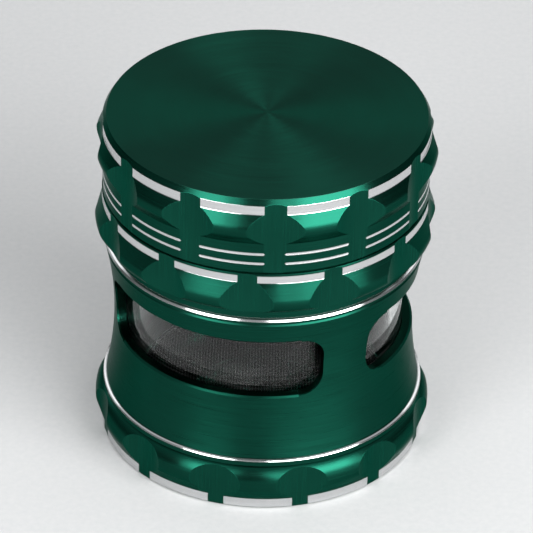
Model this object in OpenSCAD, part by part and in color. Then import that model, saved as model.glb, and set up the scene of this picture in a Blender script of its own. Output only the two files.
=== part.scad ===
// Four-section hand grinder with a glass window chamber.
// Origin: centre of the base's underside. +Z runs up the axis towards the lid. The front faces -Y.

/* [Section heights] */
// Height of the base cup
base_h = 10.5; // [10:0.25:14]
// Height of the window body without its spigot
body_h = 29.75; // [29:0.25:34]
// Height of the grinding chamber without its collar and spigot
chamber_h = 11.05; // [11:0.05:13]
// Height of the lid
lid_h = 15.25; // [15:0.25:18]
// Thickness of the sealing washers under the window body and the chamber
seal_t = 0.3; // [0.2:0.05:0.5]
// Gap between lid and chamber, filled by the slide ring's flange
slide_gap = 0.35; // [0.3:0.05:0.6]

/* [Grip] */
// Largest radius of the three grip ridges
ridge_r = 31.5; // [31.4:0.1:33]
// Number of scallops around each ridge
scallops = 12; // [8:1:16]
// Radius of the scallop cutter
scallop_cutter_r = 12.5; // [9:0.5:16]
// Radius to which the scallops cut into the lid
lid_scallop_r = 29.9; // [29.8:0.01:30.05]
// Radius to which the scallops cut into the chamber
chamber_scallop_r = 30.05; // [29.95:0.01:30.15]
// Radius to which the scallops cut into the base
base_scallop_r = 30.12; // [30.05:0.01:30.2]
// Angle of the lid's first scallop from the front
lid_phase = 3.6; // [-15:0.1:15]
// Angle of the chamber's first scallop from the front
chamber_phase = -5.6; // [-15:0.1:15]
// Angle of the base's first scallop from the front
base_phase = 14.5; // [-15:0.1:15]

/* [Lid] */
// Radius of the flat top face
top_r = 29.4; // [28.5:0.1:29.6]
// Radius of the lid's bare band and lower skirt
lid_band_r = 30.1; // [30:0.05:30.4]
// Thickness of the lid's top wall
lid_wall = 3.6; // [3:0.1:4]

/* [Window body] */
// Smallest outer radius, at the waist
waist_r = 27.93; // [27.8:0.01:28.4]
// Height of the waist above the base's underside
waist_z = 25.2; // [24:0.1:27]
// Radius of the concave sweep
sweep_r = 70; // [65:1:90]
// Number of windows
windows = 3; // [2:1:4]
// Angle of the first web from the front
web_phase = 33.1; // [0:0.1:60]
// Width of each web in degrees
web_angle = 19.1; // [14:0.1:30]
// Height of the windows' lower edge
window_z0 = 23.55; // [23:0.05:25]
// Height of the windows' upper edge
window_z1 = 36.05; // [34:0.05:36.1]
// Corner radius of the windows
window_corner_r = 4.2; // [2:0.1:5]
// Width of the bevel around each window
window_bevel = 0.32; // [0.1:0.02:0.5]

/* [Glass] */
// Outer radius of the glass tube
glass_r = 26; // [25.5:0.05:26]
// Wall of the glass tube
glass_wall = 2.2; // [1.6:0.1:2.4]

/* [Teeth] */
// Height of the chamber's teeth above its floor
chamber_tooth_h = 9; // [6:0.5:10]
// Half width of a tooth along the radius
tooth_half_r = 1.15; // [0.8:0.05:1.3]
// Half width of a tooth around the axis
tooth_half_t = 2.2; // [1.5:0.1:2.6]
// Radius of the drop holes in the chamber's floor
drop_hole_r = 1.7; // [1.2:0.1:1.8]

/* [Threads and fits] */
// Radius of the two threaded spigots
spigot_r = 26.92; // [26.9:0.01:26.94]
// Radial clearance of the threads and of the slide ring
running_gap = 0.07; // [0.05:0.01:0.08]
// Radius of the chamber's collar, inside the lid's skirt
collar_r = 27.5; // [27.2:0.05:27.6]
// Radius of the two magnets
magnet_r = 4; // [3:0.25:4.25]
// Thickness of the two magnets
magnet_t = 3; // [2:0.25:3]

/* [Hidden] */
$fn = 180;
eps = 0.01;
far = 60;

// Levels of the four sections
body_z = base_h + seal_t;
body_top = body_z + body_h;
chamber_z = body_top + seal_t;
chamber_top = chamber_z + chamber_h;
lid_z = chamber_top + slide_gap;
lid_top = lid_z + lid_h;

// Radii shared by mating pieces. Each spigot has a plain pilot land above its thread's core.
thread_bore_r = spigot_r + running_gap;
thread_core_r = spigot_r - 0.52;
pilot_h = 0.9;
seal_r0 = thread_bore_r + 0.2;
seal_r1 = 28.8;
seal_play = 0.02;
rim_gap = 0.05;

// Glass pocket and its rings
pocket_r = glass_r + 0.1;
glass_inner_r = glass_r - glass_wall;
gasket_t = 0.4;
glass_z0 = window_z0 - 1.55;
glass_z1 = window_z1 + 0.65;
shoulder_z = glass_z0 - gasket_t;
retainer_z = glass_z1 + gasket_t;
retainer_t = 0.5;
retainer_r = 27.35;
groove_play = 0.05;

// Screen stack, in the window body's spigot
body_spigot_z = body_z - 3.7;
screen_seat_z = 9.6;
screen_pocket_r = 25.4;
screen_rim_t = 0.5;
screen_mesh_t = 0.2;
screen_mesh_r = 24.6;
snap_t = 0.6;
snap_r = 25.8;
snap_opening = 5;

// Grinding chamber
chamber_spigot_z = retainer_z + retainer_t + 0.2;
collar_top = lid_top - 9.2;
grind_r = 25.4;
floor_z1 = lid_top - 18.5;
floor_z0 = floor_z1 - 2.6;
throat_r = 24.6;
post_r = 5.2;
post_top = floor_z1 + 5;

// Lid
ceiling_z = lid_top - lid_wall;
boss_z = post_top + 0.4;
skirt_bore_r = collar_r + 2 * running_gap + 0.28;
lid_bore_r = 26.6;
lid_tooth_z = floor_z1 + 1.2;

// Rows of teeth: [radius, count]
chamber_rows = [[11.2, 8], [17.2, 12], [23.2, 16]];
lid_rows = [[8.2, 6], [14.2, 10], [20.2, 14]];
drop_rows = [[8.3, 8], [14.2, 14], [20.2, 20]];

// Base
cup_r = 25;
cup_floor = 2.2;
cup_fillet_r = 3.5;
base_thread_z = body_spigot_z - 0.5;

green = [0.02, 0.26, 0.2];
steel = [0.75, 0.76, 0.78];
plastic = [0.9, 0.9, 0.88];
rubber = [0.08, 0.08, 0.09];
glass_tint = [0.7, 0.75, 0.78, 0.35];

// Points of an arc in the profile plane, from angle a0 to a1
function arc(cr, cz, r, a0, a1, steps) =
    [for (i = [0 : steps]) let (a = a0 + (a1 - a0) * i / steps) [cr + r * cos(a), cz + r * sin(a)]];

// Angle above the equator at which a ridge of radius a reaches radius r
function ridge_angle(a, r) = acos((r - (ridge_r - a)) / a);

// Outer radius of the window body at height z
function body_r(z) = waist_r + sweep_r - sqrt(sweep_r * sweep_r - pow(z - waist_z, 2));

// Profile of a spigot from its lower end at z0 to its section's face at z1
function spigot_outline(z0, z1, edge = 0.3) =
    [[0, z0], [thread_core_r - edge, z0], [thread_core_r, z0 + edge], [thread_core_r, z1 - pilot_h],
     [spigot_r, z1 - pilot_h], [spigot_r, z1]];

module turned(points) {
    rotate_extrude()
        polygon(points);
}

module tube(r1, r0, z0, z1) {
    difference() {
        translate([0, 0, z0])
            cylinder(r = r1, h = z1 - z0);
        translate([0, 0, z0 - 1])
            cylinder(r = r0, h = z1 - z0 + 2);
    }
}

module split_ring(r1, r0, z0, z1, opening) {
    difference() {
        tube(r1, r0, z0, z1);
        translate([0, -opening / 2, z0 - 1])
            cube([far, opening, z1 - z0 + 2]);
    }
}

// Vertical concave cuts around a ridge, deepest at radius depth_r
module scallop_cuts(phase, depth_r, z0, z1) {
    for (i = [0 : scallops - 1])
        rotate(phase - 90 + i * 360 / scallops)
            translate([depth_r + scallop_cutter_r, 0, z0])
                cylinder(r = scallop_cutter_r, h = z1 - z0);
}

// One ring of diamond teeth
module tooth_row(radius, count, z0, z1, turn = 0) {
    for (i = [0 : count - 1])
        rotate(turn + i * 360 / count)
            translate([radius, 0, z0])
                linear_extrude(height = z1 - z0)
                    polygon([[-tooth_half_r, 0], [0, -tooth_half_t], [tooth_half_r, 0], [0, tooth_half_t]]);
}

module base_cup() {
    ridge = 3.95;
    ridge_z = 5.8;
    band_r = 30.22;
    rim_r = 30;
    rim_z = body_z - rim_gap;
    lip = 0.3;
    flank_angle = 24;
    outline = concat(
        [[0, 0], [band_r - lip, 0], [band_r, lip], [band_r, 2.1]],
        arc(ridge_r - ridge, ridge_z, ridge, -flank_angle, ridge_angle(ridge, rim_r - 0.4), 30),
        [[rim_r - 0.35, base_h - 1.15], [rim_r, base_h - 1.05], [rim_r, rim_z - 0.35],
         [rim_r - 0.12, rim_z - 0.14], [rim_r - 0.4, rim_z],
         [seal_r1 + seal_play, rim_z], [seal_r1 + seal_play, base_h], [0, base_h]]);
    cup = concat(
        [[0, cup_floor]],
        arc(cup_r - cup_fillet_r, cup_floor + cup_fillet_r, cup_fillet_r, -90, 0, 10),
        [[cup_r, base_thread_z], [thread_bore_r, base_thread_z], [thread_bore_r, base_h - 0.3],
         [thread_bore_r + 0.3, base_h], [thread_bore_r + 0.3, base_h + 1], [0, base_h + 1]]);
    color(green)
        difference() {
            turned(outline);
            turned(cup);
            scallop_cuts(base_phase, base_scallop_r, -1, base_h + 1);
        }
}

module base_seal() {
    color(rubber)
        tube(seal_r1, seal_r0, base_h + seal_play, body_z - seal_play);
}

// Radial cutter for one end of a window, with its two round corners on the side given by side.
// It is a hair lower than the window, so that its flat edges end inside the window's own cut.
module window_end(angle, side) {
    z0 = window_z0 + 0.02;
    z1 = window_z1 - 0.02;
    inner = 1.4 * window_corner_r;
    outline = concat(
        arc(0, z0 + window_corner_r, window_corner_r, -90, -180, 14),
        arc(0, z1 - window_corner_r, window_corner_r, 180, 90, 14),
        [[inner, z1], [inner, z0]]);
    rotate(angle)
        translate([glass_r - 2, 0, 0])
            rotate([90, 0, 90])
                linear_extrude(height = far)
                    polygon([for (p = outline) [-side * p[0], p[1]]]);
}

// One window, between two webs. Its straight edges are bevelled where they meet the sweep.
module window_cut(start, sweep) {
    lap = 0.6;
    corner_angle = asin(window_corner_r / body_r(window_z0));
    first = start + corner_angle;
    span = sweep - 2 * corner_angle;
    rotate(first + lap)
        rotate_extrude(angle = span - 2 * lap)
            polygon([[glass_r - 2, window_z0],
                     [body_r(window_z0) - window_bevel, window_z0],
                     [body_r(window_z0) + window_bevel, window_z0 - 2 * window_bevel],
                     [far, window_z0 - 2 * window_bevel],
                     [far, window_z1 + 2 * window_bevel],
                     [body_r(window_z1) + window_bevel, window_z1 + 2 * window_bevel],
                     [body_r(window_z1) - window_bevel, window_z1],
                     [glass_r - 2, window_z1]]);
    window_end(first, -1);
    window_end(first + span, 1);
}

module window_body() {
    edge = 0.3;
    sweep_steps = 24;
    sweep = [for (i = [0 : sweep_steps])
                let (z = body_z + (body_h - edge) * i / sweep_steps) [body_r(z), z]];
    outline = concat(
        spigot_outline(body_spigot_z, body_z),
        sweep,
        [[body_r(body_top) - edge, body_top], [0, body_top]]);
    bore = [[0, body_spigot_z - 1], [screen_pocket_r, body_spigot_z - 1],
            [screen_pocket_r, screen_seat_z], [glass_inner_r, screen_seat_z],
            [glass_inner_r, shoulder_z], [pocket_r, shoulder_z], [pocket_r, retainer_z],
            [thread_bore_r, retainer_z], [thread_bore_r, body_top - edge],
            [thread_bore_r + edge, body_top], [thread_bore_r + edge, body_top + 1], [0, body_top + 1]];
    color(green)
        difference() {
            turned(outline);
            turned(bore);
            tube(retainer_r + groove_play, pocket_r - 1, retainer_z, retainer_z + retainer_t + groove_play);
            tube(snap_r + groove_play, screen_pocket_r - 1, snap_z0() - groove_play, snap_z0() + snap_t);
            for (i = [0 : windows - 1])
                window_cut(web_phase - 90 + web_angle / 2 + i * 360 / windows, 360 / windows - web_angle);
        }
}

// Underside of the screen's snap ring
function snap_z0() = screen_seat_z - 2 * screen_rim_t - screen_mesh_t - snap_t;

module glass_lower_gasket() {
    color(rubber)
        tube(glass_r, glass_inner_r + 0.1, shoulder_z, glass_z0);
}

module glass_tube() {
    soft = 0.5;
    color(glass_tint)
        turned(concat(
            arc(glass_r - soft, glass_z1 - soft, soft, 0, 90, 6),
            arc(glass_inner_r + soft, glass_z1 - soft, soft, 90, 180, 6),
            arc(glass_inner_r + soft, glass_z0 + soft, soft, 180, 270, 6),
            arc(glass_r - soft, glass_z0 + soft, soft, 270, 360, 6)));
}

module glass_upper_gasket() {
    color(rubber)
        tube(glass_r, glass_inner_r + 0.1, glass_z1, retainer_z);
}

module glass_retainer_ring() {
    color(steel)
        split_ring(retainer_r, glass_inner_r + 0.4, retainer_z, retainer_z + retainer_t, snap_opening);
}

module screen_upper_ring() {
    color(steel)
        tube(screen_pocket_r - 0.1, glass_inner_r - 0.4, screen_seat_z - screen_rim_t, screen_seat_z);
}

module screen_mesh() {
    color(steel)
        translate([0, 0, screen_seat_z - screen_rim_t - screen_mesh_t])
            cylinder(r = screen_mesh_r, h = screen_mesh_t);
}

module screen_lower_ring() {
    top = screen_seat_z - screen_rim_t - screen_mesh_t;
    color(steel)
        tube(screen_pocket_r - 0.1, glass_inner_r - 0.4, top - screen_rim_t, top);
}

module screen_snap_ring() {
    color(steel)
        split_ring(snap_r, glass_inner_r, snap_z0(), snap_z0() + snap_t, snap_opening);
}

module chamber_seal() {
    color(rubber)
        tube(seal_r1, seal_r0, body_top + seal_play, chamber_z - seal_play);
}

module grinding_chamber() {
    crest = 2.62;
    crest_z = chamber_top - 5.75;
    under_angle = 55;
    flank_angle = 20.5;
    band_r = 30.2;
    rim_r = 29.7;
    groove_r = rim_r - 0.55;
    edge = 0.2;
    outline = concat(
        spigot_outline(chamber_spigot_z, chamber_z),
        [[rim_r, chamber_z], [rim_r, chamber_z + 0.45], [rim_r - 0.2, chamber_z + 0.8],
         [groove_r, chamber_z + 1], [groove_r, chamber_z + 2.3]],
        arc(ridge_r - crest, crest_z, crest, -under_angle, flank_angle, 20),
        [[band_r, chamber_top - 1.8], [band_r, chamber_top - edge], [band_r - edge, chamber_top],
         [collar_r, chamber_top], [collar_r, collar_top - edge], [collar_r - edge, collar_top],
         [0, collar_top]]);
    color(green)
        difference() {
            union() {
                difference() {
                    turned(outline);
                    translate([0, 0, floor_z1])
                        cylinder(r = grind_r, h = far);
                    translate([0, 0, chamber_spigot_z - 1])
                        cylinder(r = throat_r, h = floor_z0 - chamber_spigot_z + 1);
                }
                translate([0, 0, floor_z0])
                    cylinder(r = post_r, h = post_top - floor_z0);
                for (row = chamber_rows)
                    tooth_row(row[0], row[1], floor_z1 - eps, floor_z1 + chamber_tooth_h);
            }
            translate([0, 0, post_top - magnet_t])
                cylinder(r = magnet_r, h = magnet_t + 1);
            for (row = drop_rows, i = [0 : row[1] - 1])
                rotate((i + 0.5) * 360 / row[1])
                    translate([row[0], 0, floor_z0 - 1])
                        cylinder(r = drop_hole_r, h = floor_z1 - floor_z0 + 2, $fn = 48);
            scallop_cuts(chamber_phase, chamber_scallop_r, chamber_z + 1.2, chamber_top + 1);
        }
}

module chamber_magnet() {
    color(steel)
        translate([0, 0, post_top - magnet_t])
            cylinder(r = magnet_r, h = magnet_t);
}

module slide_ring() {
    inner = collar_r + running_gap;
    play = 0.02;
    color(plastic)
        turned([[inner, chamber_top + play], [29.3, chamber_top + play],
                [29.3, lid_z - 2 * play], [skirt_bore_r - running_gap, lid_z - 2 * play],
                [skirt_bore_r - running_gap, collar_top - 0.3], [inner, collar_top - 0.3]]);
}

module lid() {
    crest = 2.5;
    crest_z = lid_top - 6;
    flank_angle = 30;
    flank_half = 3.1;
    line_depth = 0.05;
    line_half = 0.22;
    upper_line = lid_top - 11.3;
    lower_line = lid_top - 13.3;
    edge = 0.15;
    lines = [for (z = [lower_line, upper_line], step = [-1, 0, 1])
                [lid_band_r - (step == 0 ? line_depth : 0), z + step * line_half]];
    outline = concat(
        [[0, lid_z], [lid_band_r - edge, lid_z], [lid_band_r, lid_z + edge]],
        lines,
        [[lid_band_r, crest_z - flank_half]],
        arc(ridge_r - crest, crest_z, crest, -flank_angle, flank_angle, 20),
        [[lid_band_r, crest_z + flank_half], [lid_band_r, lid_top - 1.15], [top_r, lid_top],
         [0, lid_top]]);
    hollow = [[0, lid_z - 1], [skirt_bore_r, lid_z - 1], [skirt_bore_r, collar_top + 0.3],
              [lid_bore_r, collar_top + 0.3 + skirt_bore_r - lid_bore_r], [lid_bore_r, ceiling_z],
              [0, ceiling_z]];
    color(green)
        difference() {
            union() {
                difference() {
                    turned(outline);
                    turned(hollow);
                }
                translate([0, 0, boss_z])
                    cylinder(r = post_r, h = ceiling_z - boss_z + eps);
                for (row = lid_rows)
                    tooth_row(row[0], row[1], lid_tooth_z, ceiling_z + eps, 9);
            }
            translate([0, 0, boss_z - 1])
                cylinder(r = magnet_r, h = magnet_t + 1);
            scallop_cuts(lid_phase, lid_scallop_r, lid_z - 1, lid_top + 1);
        }
}

module lid_magnet() {
    color(steel)
        translate([0, 0, boss_z])
            cylinder(r = magnet_r, h = magnet_t);
}

base_cup();
base_seal();
window_body();
glass_lower_gasket();
glass_tube();
glass_upper_gasket();
glass_retainer_ring();
screen_upper_ring();
screen_mesh();
screen_lower_ring();
screen_snap_ring();
chamber_seal();
grinding_chamber();
chamber_magnet();
slide_ring();
lid();
lid_magnet();
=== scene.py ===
import math

import bpy
from mathutils import Matrix, Vector


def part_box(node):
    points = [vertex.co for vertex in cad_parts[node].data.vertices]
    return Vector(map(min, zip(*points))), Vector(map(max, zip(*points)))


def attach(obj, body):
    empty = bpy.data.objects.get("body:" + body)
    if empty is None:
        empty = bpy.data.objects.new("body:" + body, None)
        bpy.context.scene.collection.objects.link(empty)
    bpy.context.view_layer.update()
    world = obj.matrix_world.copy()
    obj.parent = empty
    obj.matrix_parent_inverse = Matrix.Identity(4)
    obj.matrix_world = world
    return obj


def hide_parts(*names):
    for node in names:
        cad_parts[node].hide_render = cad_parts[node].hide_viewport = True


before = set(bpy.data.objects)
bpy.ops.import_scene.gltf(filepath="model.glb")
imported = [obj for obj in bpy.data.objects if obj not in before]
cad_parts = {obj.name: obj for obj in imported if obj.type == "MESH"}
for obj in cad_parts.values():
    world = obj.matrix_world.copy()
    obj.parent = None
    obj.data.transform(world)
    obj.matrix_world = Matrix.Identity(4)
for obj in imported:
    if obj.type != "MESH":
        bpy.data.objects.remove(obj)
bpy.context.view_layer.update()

MM = 0.001
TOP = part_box("lid")[1].z


# ------------------------------------------------------------------ nodes


class Tree:
    """A material's node tree, with one call for each kind of node the materials below are built from."""

    def __init__(self, name):
        self.mat = bpy.data.materials.new(name)
        self.mat.use_nodes = True
        self.nt = self.mat.node_tree
        self.shader = self.nt.nodes["Principled BSDF"]

    def new(self, kind, **settings):
        node = self.nt.nodes.new(kind)
        for key, value in settings.items():
            setattr(node, key, value)
        return node

    def put(self, socket, value):
        if isinstance(value, bpy.types.NodeSocket):
            self.nt.links.new(value, socket)
        elif value is not None:
            socket.default_value = value

    def math(self, operation, a, b=None, c=None):
        node = self.new("ShaderNodeMath", operation=operation)
        for socket, value in zip(node.inputs, (a, b, c)):
            self.put(socket, value)
        return node.outputs[0]

    def add(self, *terms):
        total = terms[0]
        for term in terms[1:]:
            total = self.math("ADD", total, term)
        return total

    def times(self, *terms):
        total = terms[0]
        for term in terms[1:]:
            total = self.math("MULTIPLY", total, term)
        return total

    def span(self, value, low, high, out_low=0.0, out_high=1.0):
        node = self.new("ShaderNodeMapRange", clamp=True)
        for socket, v in zip(node.inputs, (value, low, high, out_low, out_high)):
            self.put(socket, v)
        return node.outputs[0]

    def xyz(self, x=0.0, y=0.0, z=0.0):
        node = self.new("ShaderNodeCombineXYZ")
        for socket, v in zip(node.inputs, (x, y, z)):
            self.put(socket, v)
        return node.outputs[0]

    def noise(self, vector, scale=1.0, detail=2.0, rough=0.5):
        node = self.new("ShaderNodeTexNoise")
        self.put(node.inputs["Vector"], vector)
        self.put(node.inputs["Scale"], scale)
        self.put(node.inputs["Detail"], detail)
        self.put(node.inputs["Roughness"], rough)
        return node.outputs["Fac"]

    def mix(self, factor, a, b):
        node = self.new("ShaderNodeMix", data_type="RGBA")
        self.put(node.inputs[0], factor)
        for socket, colour in ((node.inputs[6], a), (node.inputs[7], b)):
            self.put(socket, colour if not isinstance(colour, tuple) else (*colour[:3], 1.0))
        return node.outputs[2]

    def blend(self, factor, a, b):
        node = self.new("ShaderNodeMix", data_type="FLOAT")
        for socket, v in zip(node.inputs[:4], (factor, None, a, b)):
            self.put(socket, v)
        return node.outputs[0]

    def scale(self, colour, factor):
        node = self.new("ShaderNodeVectorMath", operation="SCALE")
        node.inputs[0].default_value = colour
        self.put(node.inputs["Scale"], factor)
        return node.outputs[0]

    def bump(self, height, distance):
        node = self.new("ShaderNodeBump")
        self.put(node.inputs["Distance"], distance)
        self.put(node.inputs["Height"], height)
        return node.outputs[0]

    def place(self):
        """The shaded point's x, y and z in mm, in the part's own frame."""
        split = self.new("ShaderNodeSeparateXYZ")
        self.put(split.inputs[0], self.new("ShaderNodeTexCoord").outputs["Object"])
        return [self.times(s, 1 / MM) for s in split.outputs]

    def polar(self, x, y):
        """Radius and angle about the part's axis."""
        r = self.math("SQRT", self.add(self.times(x, x), self.times(y, y)))
        return r, self.math("ARCTAN2", y, x)

    def set(self, **values):
        for key, value in values.items():
            self.put(self.shader.inputs[key.replace("_", " ")], value)
        return self.mat


# -------------------------------------------------------------- materials

GREEN = (0.003, 0.046, 0.0295)
GREEN_EDGE = (0.45, 0.56, 0.52)
BARE = (0.62, 0.625, 0.63)
WHITE = (1.0, 1.0, 1.0)
# Tone of the green on the milled scallops, and the painted shade that darkens the green on the windows'
# walls
MILLED_GAIN, REVEAL_PAINTED_SHADE = 1.3, 0.22
# Bump distance of the turning and milling lines, in m
LINE_DEPTH = 0.0000045
# Share of coarse lines in the turning of the grip rings and of the window body
GRIP_COARSE, BODY_COARSE = 0.45, 0.05
# Roughness added on the lid's top face and on the window body
FACE_ROUGH, BODY_ROUGH = 0.2, 0.05

# Bare bands of each grip ring as (lowest z, highest z) in mm, and the radius inside which nothing is bare
TOP_MM = TOP / MM
BANDS = {
    "lid": [
        (TOP_MM - 2.98, TOP_MM - 1.13),
        (TOP_MM - 11.55, TOP_MM - 11.05),
        (TOP_MM - 13.55, TOP_MM - 13.05),
    ],
    "grinding_chamber": [(TOP_MM - 17.48, TOP_MM - 15.98), (TOP_MM - 26.22, TOP_MM - 25.63)],
    "base_cup": [(10.38, 10.77), (0.28, 2.12)],
}
BARE_FROM_R = 29.0
# Waist of the window body, radius of its concave sweep and depth of its windows' bevels, in mm
WAIST_R, WAIST_Z, SWEEP_R = 27.93, 25.2, 70.0
BEVEL_DEPTH = 0.38
# Heights between which the windows lie, in mm
WINDOW_ZONE = (15.0, 38.0)
# Scallops of each grip ring: their number, their cutter's radius, and (phase in degrees, depth radius in mm)
SCALLOPS = 12
CUTTER_R = 12.5
CUTS = {"lid": (3.6, 29.9), "grinding_chamber": (-5.6, 30.05), "base_cup": (14.5, 30.12)}
# Slack in mm within which a point counts as lying on a scallop, or on the lid's top face
SKIN = 0.035
FACE_SKIN = 0.05


def scallop_mask(t, r, angle, phase, depth):
    """1 on the milled scallops and 0 on the turned surface round them."""
    step = 2 * math.pi / SCALLOPS
    turned = t.math("SUBTRACT", angle, math.radians(phase - 90))
    near = t.math("WRAP", turned, step / 2, -step / 2)
    dx = t.math("SUBTRACT", t.times(r, t.math("COSINE", near)), depth + CUTTER_R)
    dy = t.times(r, t.math("SINE", near))
    away = t.math("SQRT", t.add(t.times(dx, dx), t.times(dy, dy)))
    return t.math("LESS_THAN", away, CUTTER_R + SKIN)


def band_mask(t, r, z, bands):
    """1 on the bare bands, lines and chamfers of the outside."""
    hits = [t.math("COMPARE", z, (low + high) / 2, (high - low) / 2) for low, high in bands]
    return t.times(t.math("MINIMUM", t.add(*hits), 1.0), t.math("GREATER_THAN", r, BARE_FROM_R))


def reveal_shade_mask(t, r, z):
    """1 on the walls of the windows, inside their bevels, where shade is painted."""
    dz = t.math("SUBTRACT", z, WAIST_Z)
    drop = t.math("SQRT", t.math("SUBTRACT", SWEEP_R * SWEEP_R, t.times(dz, dz)))
    outside = t.math("SUBTRACT", WAIST_R + SWEEP_R - BEVEL_DEPTH, drop)
    low, high = WINDOW_ZONE
    beside = t.math("COMPARE", z, (low + high) / 2, (high - low) / 2)
    return t.times(beside, t.math("LESS_THAN", r, outside))


def anodised(name, node):
    """Green anodised aluminium with turning lines. Grip rings also have milled scallops and bare bands, and
    the window body has painted shade on its windows' walls.
    """
    t = Tree(name)
    x, y, z = t.place()
    r, angle = t.polar(x, y)
    gripped = node in CUTS
    cut, bare = 0.0, 0.0
    if gripped:
        cut = scallop_mask(t, r, angle, *CUTS[node])
        bare = t.times(band_mask(t, r, z, BANDS[node]), t.math("SUBTRACT", 1.0, cut))
    # Turning leaves lines at one radius and height, and milling leaves lines along the axis.
    around = t.times(angle, 30.0)
    profile = t.xyz(r, z, t.times(angle, 0.4))
    fine = t.noise(profile, 5.5, 3.0, 0.65)
    coarse = t.noise(profile, 2.0, 2.0, 0.5)
    milled = t.noise(t.xyz(around, t.times(z, 0.02)), 3.4, 3.0, 0.6)
    chatter = t.noise(t.xyz(around, t.times(z, 0.25), t.times(r, 0.25)), 1.9, 1.0, 0.5)
    turned = t.blend(GRIP_COARSE if gripped else BODY_COARSE, fine, coarse)
    lines = t.blend(cut, turned, milled)
    cloud = t.noise(t.xyz(x, y, z), 0.09, 2.0, 0.5)
    tone = t.add(t.span(lines, 0.3, 0.7, 0.87, 1.13), t.span(cloud, 0.3, 0.7, -0.08, 0.08))
    if gripped:
        tone = t.times(tone, t.blend(cut, 1.0, MILLED_GAIN))
    else:
        # Painted shade: the windows' walls are darkened where shade falls inside them.
        tone = t.times(tone, t.blend(reveal_shade_mask(t, r, z), 1.0, REVEAL_PAINTED_SHADE))
    green = t.scale(GREEN, tone)
    metal = t.scale(BARE, t.span(fine, 0.3, 0.7, 0.9, 1.04))
    face = t.math("GREATER_THAN", z, TOP_MM - FACE_SKIN)
    rough = t.blend(bare, t.span(lines, 0.3, 0.7, 0.21, 0.29), t.span(fine, 0.3, 0.7, 0.12, 0.18))
    rough = t.add(rough, t.times(face, FACE_ROUGH) if gripped else BODY_ROUGH)
    height = t.add(t.times(lines, 0.7), t.times(chatter, 0.55))
    tangent = t.new("ShaderNodeTangent", direction_type="RADIAL", axis="Z")
    return t.set(
        Base_Color=t.mix(bare, green, metal),
        Metallic=1.0,
        Roughness=rough,
        Normal=t.bump(height, LINE_DEPTH),
        Tangent=tangent.outputs[0],
        Anisotropic=t.blend(face, 0.8, 0.82) if node == "lid" else 0.8,
        Anisotropic_Rotation=t.blend(cut, 0.25, 0.0) if gripped else 0.25,
        Specular_Tint=t.mix(bare, GREEN_EDGE, WHITE) if gripped else (*GREEN_EDGE, 1.0),
        Coat_Weight=t.blend(face, 0.03, 0.12) if node == "lid" else 0.03,
        Coat_Roughness=0.3,
    )


def steel(name, colour, roughness, scale):
    """Bare steel with fine lines round the axis and a little uneven tone."""
    t = Tree(name)
    x, y, z = t.place()
    r, angle = t.polar(x, y)
    lines = t.noise(t.xyz(r, z, t.times(angle, 0.8)), scale, 3.0, 0.6)
    cloud = t.noise(t.xyz(x, y, z), 0.3)
    tone = t.add(t.span(lines, 0.3, 0.7, 0.88, 1.06), t.span(cloud, 0.3, 0.7, -0.04, 0.04))
    return t.set(
        Base_Color=t.scale(colour, tone),
        Metallic=1.0,
        Roughness=t.span(lines, 0.3, 0.7, roughness, roughness + 0.12),
        Normal=t.bump(lines, 0.000004),
    )


def soft(name, colour, roughness, grain, depth):
    """Rubber or plastic with a fine grain."""
    t = Tree(name)
    at = t.xyz(*t.place())
    speckle = t.noise(at, grain, 3.0, 0.6)
    cloud = t.noise(at, 0.35)
    tone = t.add(t.span(speckle, 0.3, 0.7, 0.86, 1.1), t.span(cloud, 0.3, 0.7, -0.06, 0.06))
    return t.set(
        Base_Color=t.scale(colour, tone),
        Roughness=t.span(speckle, 0.3, 0.7, roughness, roughness + 0.15),
        Normal=t.bump(speckle, depth),
    )


# Share of the glass's transmission that lighter smears take: dust anywhere, and in a band low down more of
# them, as dust and as painted highlight arcs
DUST, BAND_DUST_AND_SHEEN = 0.004, 0.022
# Heights in mm between which the band of dust and painted highlight arcs begins, and between which it ends
DUST_AND_SHEEN_BEGINS, DUST_AND_SHEEN_ENDS = (23.5, 25.5), (27.0, 29.5)


def clear_glass(name):
    """Clear tube glass with a faint film that softens it unevenly, and smears of dust low down, heavier in a
    band where they also paint highlight arcs.
    """
    t = Tree(name)
    x, y, z = t.place()
    r, angle = t.polar(x, y)
    film = t.noise(t.xyz(t.times(angle, 26.0), t.times(z, 0.6), r), 0.22, 4.0, 0.6)
    smears = t.noise(t.xyz(t.times(angle, 2.6), t.times(z, 2.2), 0.0), 1.0, 3.0, 0.55)
    # The lighter smears in this band are partly dust and partly painted highlight arcs.
    dust_and_sheen_band = t.math("MINIMUM", t.span(z, *DUST_AND_SHEEN_BEGINS), t.span(z, *DUST_AND_SHEEN_ENDS, 1.0, 0.0))
    dust_and_sheen = t.times(t.span(smears, 0.48, 0.72), t.add(t.times(dust_and_sheen_band, BAND_DUST_AND_SHEEN), DUST))
    return t.set(
        Base_Color=(0.93, 0.965, 0.95, 1.0),
        Transmission_Weight=t.math("SUBTRACT", 1.0, dust_and_sheen),
        IOR=1.32,
        Roughness=t.span(film, 0.42, 0.75, 0.0, 0.07),
    )


RUBBER = soft("seal_rubber", (0.02, 0.02, 0.022), 0.55, 4.0, 0.00001)
PLASTIC = soft("slide_plastic", (0.78, 0.78, 0.75), 0.34, 3.0, 0.000004)
STEEL = steel("ring_steel", (0.58, 0.58, 0.59), 0.2, 6.0)
NICKEL = steel("magnet_nickel", (0.66, 0.65, 0.63), 0.14, 3.0)
# The screen wires' near-black colour is painted shade for the dim inside of the window chamber; the steel
# itself is lighter.
SHADED_WIRE = steel("wire_steel_painted_shade", (0.016, 0.016, 0.018), 0.42, 4.0)

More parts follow.
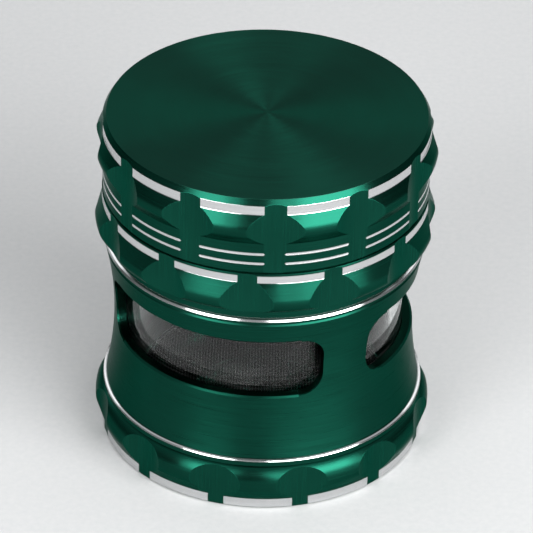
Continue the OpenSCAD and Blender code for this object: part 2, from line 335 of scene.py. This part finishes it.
LOOKS = {
    "lid": anodised("lid_green", "lid"),
    "grinding_chamber": anodised("chamber_green", "grinding_chamber"),
    "window_body": anodised("body_green", "window_body"),
    "base_cup": anodised("base_green", "base_cup"),
    "glass_tube": clear_glass("tube_glass"),
    "base_seal": RUBBER,
    "chamber_seal": RUBBER,
    "glass_lower_gasket": RUBBER,
    "glass_upper_gasket": RUBBER,
    "slide_ring": PLASTIC,
    "glass_retainer_ring": STEEL,
    "screen_upper_ring": STEEL,
    "screen_lower_ring": STEEL,
    "screen_snap_ring": STEEL,
    "screen_mesh": SHADED_WIRE,
    "lid_magnet": NICKEL,
    "chamber_magnet": NICKEL,
}
for node, material in LOOKS.items():
    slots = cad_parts[node].material_slots
    for slot in slots:
        slot.link = "OBJECT"
        slot.material = material


# ----------------------------------------------------------------- pieces


def mesh_piece(name, verts, faces, material, body, smooth=True):
    mesh = bpy.data.meshes.new(name)
    mesh.from_pydata([Vector(v) * MM for v in verts], [], faces)
    mesh.materials.append(material)
    for poly in mesh.polygons:
        poly.use_smooth = smooth
    mesh.update()
    piece = bpy.data.objects.new(name, mesh)
    bpy.context.collection.objects.link(piece)
    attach(piece, body)
    return piece


# Wires of the screen: distance between neighbours in mm, sides of a section, and sections in each step
WIRE_STEP, WIRE_SIDES, WIRE_POINTS = 0.56, 4, 4
# How far the wires end inside the screen's edge, in mm
WIRE_TRIM = 0.15


def woven_screen():
    """Plain weave of two sets of wires, trimmed to the disc that the screen's rings hold."""
    low, high = (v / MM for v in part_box("screen_mesh"))
    middle, half = (low.z + high.z) / 2, (high.z - low.z) / 2
    reach = high.x - WIRE_TRIM
    wire_r = half / 2
    step = WIRE_STEP
    sides = WIRE_SIDES
    count = int(reach / step)
    verts, faces = [], []
    for way in (0, 1):
        for i in range(-count, count + 1):
            across = i * step
            run = math.sqrt(max(reach * reach - across * across, 0.0))
            if run < step:
                continue
            cells = int(run / (step / WIRE_POINTS))
            first = len(verts)
            points = range(-cells, cells + 1)
            for k in points:
                along = k * step / WIRE_POINTS
                phase = math.pi * (along / step + i + way)
                lift = (half - wire_r) * math.cos(phase)
                slope = -(half - wire_r) * math.sin(phase) * math.pi / step
                tilt = math.atan(slope)
                for s in range(sides):
                    a = 2 * math.pi * s / sides
                    side, up = wire_r * math.cos(a), wire_r * math.sin(a)
                    u, v = along - up * math.sin(tilt), across + side
                    w = middle + lift + up * math.cos(tilt)
                    verts.append((u, v, w) if way == 0 else (v, u, w))
            rows = len(points)
            for k in range(rows - 1):
                for s in range(sides):
                    a, b = first + k * sides + s, first + k * sides + (s + 1) % sides
                    quad = (a, b, b + sides, a + sides)
                    faces.append(quad if way == 0 else quad[::-1])
            start = [first + s for s in range(sides)]
            end = [first + (rows - 1) * sides + s for s in range(sides)]
            faces.append(start[::-1] if way == 0 else start)
            faces.append(end if way == 0 else end[::-1])
    piece = mesh_piece("woven_screen", verts, faces, SHADED_WIRE, "window_section")
    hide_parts("screen_mesh")


# Threads, in mm: pitch, and the width of a ridge at its root and at its crest
PITCH = 1.0
ROOT_W, CREST_W = 0.56, 0.16
# Sections of a ridge in each turn, and the share of a turn over which an end fades out
TURN_STEPS = 120
FADE = 0.18
# Share of its full height that a ridge has at its two tips
TIP = 0.02
# How far a ridge is sunk in its wall, and the gap above a washer
SINK = 0.04
SEAL_PLAY = 0.02
# Radii of the spigots' cores and of the bores, with the crests of the ridges on them
CORE_R, BORE_R = 26.4, 26.99
MALE_CREST, FEMALE_CREST = 26.88, 26.5
# Height of the plain land above each spigot's core
PILOT = 0.9
# Where a ridge begins above the spigot's end, and ends below the land
MALE_ENDS, FEMALE_ENDS = (0.6, 0.3), (0.1, 0.38)


def thread_ridge(name, root_r, crest_r, z0, z1, body, material):
    """One helical thread ridge on its root cylinder, from z0 up to about z1, fading out at both ends."""
    total = int((z1 - z0) / PITCH * TURN_STEPS)
    outward = crest_r > root_r
    sunk = root_r - SINK if outward else root_r + SINK
    verts, faces = [], []
    for k in range(total + 1):
        a = 2 * math.pi * k / TURN_STEPS
        z = z0 + PITCH * k / TURN_STEPS
        grow = min(1.0, k / (TURN_STEPS * FADE), (total - k) / (TURN_STEPS * FADE))
        tip = root_r + (crest_r - root_r) * max(grow, TIP)
        c, s = math.cos(a), math.sin(a)
        for r, w in ((sunk, -ROOT_W), (tip, -CREST_W), (tip, CREST_W), (sunk, ROOT_W)):
            verts.append((r * c, r * s, z + w / 2))
    for k in range(total):
        for s in range(4):
            a, b = 4 * k + s, 4 * k + (s + 1) % 4
            quad = (a, b, b + 4, a + 4)
            faces.append(quad[::-1] if outward else quad)
    start, end = (0, 1, 2, 3), tuple(4 * total + s for s in range(4))
    faces.append(start if outward else start[::-1])
    faces.append(end[::-1] if outward else end)
    mesh_piece(name, verts, faces, material, body, smooth=False)


woven_screen()

# (spigot's ridge, node and body), (bore's ridge, node and body), washer round the joint
THREADS = [
    (
        ("body_thread", "window_body", "window_section"),
        ("base_thread", "base_cup", "base"),
        "base_seal",
    ),
    (
        ("chamber_thread", "grinding_chamber", "chamber"),
        ("upper_thread", "window_body", "window_section"),
        "chamber_seal",
    ),
]
for (male, node, body), (female, bore_node, bore_body), washer in THREADS:
    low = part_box(node)[0].z / MM
    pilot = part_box(washer)[1].z / MM + SEAL_PLAY - PILOT
    for name, look, rider, root_r, crest_r, (above_end, below_land) in (
        (male, node, body, CORE_R, MALE_CREST, MALE_ENDS),
        (female, bore_node, bore_body, BORE_R, FEMALE_CREST, FEMALE_ENDS),
    ):
        z0, z1 = low + above_end, pilot - below_land
        thread_ridge(name, root_r, crest_r, z0, z1, rider, LOOKS[look])


# ------------------------------------------------------------------ stage

# The room is dim near the horizon and lighter overhead: strengths, and the sines of elevation between them
HORIZON, ZENITH = 0.05, 0.61
RISE_FROM, RISE_TO = 0.05, 0.6

# (name, azimuth, elevation, distance, width, height, radiance), with angles in degrees and lengths in m
SOFTBOXES = [
    ("front_left", -35, 25, 0.95, 0.56, 0.68, 5.0),
    ("front_left_core", -37, 26, 0.94, 0.3, 0.5, 6.0),
    ("front_right", 37.5, 25, 0.95, 1.07, 0.68, 6.5),
    ("front_right_core", 43, 26, 0.94, 0.6, 0.5, 8.0),
    ("back_left", -147, 25, 1.3, 0.95, 0.6, 1.15),
    ("back_right", 147, 25, 1.3, 0.95, 0.6, 1.15),
    ("overhead", 180, 70, 1.1, 0.9, 0.9, 0.1),
]
# Point that every panel faces, and half the side of the floor, in m
AIM = Vector((0, 0, 0.04))
FLOOR_HALF = 6.0


def floor_material():
    """Plain pale paper with a faint grain."""
    t = Tree("floor_paper")
    grain = t.noise(t.xyz(*t.place()), 0.8, 4.0, 0.6)
    t.set(
        Base_Color=t.mix(t.span(grain, 0.3, 0.7), (0.42, 0.423, 0.427), (0.45, 0.45, 0.45)),
        Roughness=0.75,
        Normal=t.bump(grain, 0.00001),
    )
    t.put(t.shader.inputs["Specular IOR Level"], 0.2)
    return t.mat


mesh = bpy.data.meshes.new("floor")
corners = [(FLOOR_HALF * x, FLOOR_HALF * y, 0) for x, y in ((-1, -1), (1, -1), (1, 1), (-1, 1))]
mesh.from_pydata(corners, [], [(0, 1, 2, 3)])
mesh.materials.append(floor_material())
floor = bpy.data.objects.new("floor", mesh)
bpy.context.collection.objects.link(floor)

world = bpy.data.worlds.new("studio")
bpy.context.scene.world = world
world.use_nodes = True
sky = world.node_tree
backdrop = sky.nodes["Background"]
heading = sky.nodes.new("ShaderNodeSeparateXYZ")
rise = sky.nodes.new("ShaderNodeMapRange")
sky.links.new(sky.nodes.new("ShaderNodeTexCoord").outputs["Generated"], heading.inputs[0])
sky.links.new(heading.outputs["Z"], rise.inputs["Value"])
for socket, value in zip(rise.inputs[1:5], (RISE_FROM, RISE_TO, HORIZON, ZENITH)):
    socket.default_value = value
sky.links.new(rise.outputs[0], backdrop.inputs["Strength"])
backdrop.inputs["Color"].default_value = (0.95, 0.98, 1.0, 1.0)


def softbox(name, azimuth, elevation, distance, width, height, glow):
    """A soft panel that faces the part. Its azimuth is counted from the front towards +X."""
    light = bpy.data.lights.new(name, "AREA")
    light.shape = "RECTANGLE"
    light.size, light.size_y = width, height
    light.energy = glow * math.pi * width * height
    lamp = bpy.data.objects.new(name, light)
    bpy.context.collection.objects.link(lamp)
    turn, lift = math.radians(azimuth), math.radians(elevation)
    way = Vector((math.sin(turn) * math.cos(lift), -math.cos(turn) * math.cos(lift), math.sin(lift)))
    lamp.location = AIM + way * distance
    lamp.rotation_mode = "QUATERNION"
    lamp.rotation_quaternion = (-way).to_track_quat("-Z", "Y")


for panel in SOFTBOXES:
    softbox(*panel)

# The camera looks down on the front from the photograph's height, with a long lens and a slight lean.
PITCH_DOWN, LEAN = math.radians(33.706), math.radians(1.244)
STAND = Vector((0.00043, -0.6825, TOP + 0.4214))
ahead = Vector((0, math.cos(PITCH_DOWN), -math.sin(PITCH_DOWN)))
across = Vector((1, 0, 0))
above = across.cross(ahead)
right = math.cos(LEAN) * across + math.sin(LEAN) * above
up = -math.sin(LEAN) * across + math.cos(LEAN) * above
lens = bpy.data.cameras.new("camera")
lens.sensor_width, lens.lens = 36.0, 297.2
lens.clip_start, lens.clip_end = 0.02, 20.0
camera = bpy.data.objects.new("camera", lens)
bpy.context.collection.objects.link(camera)
rows = Matrix((right, up, -ahead)).transposed()
camera.matrix_world = Matrix.Translation(STAND) @ rows.to_4x4()
bpy.context.scene.camera = camera
bpy.context.scene.view_settings.view_transform = "Standard"
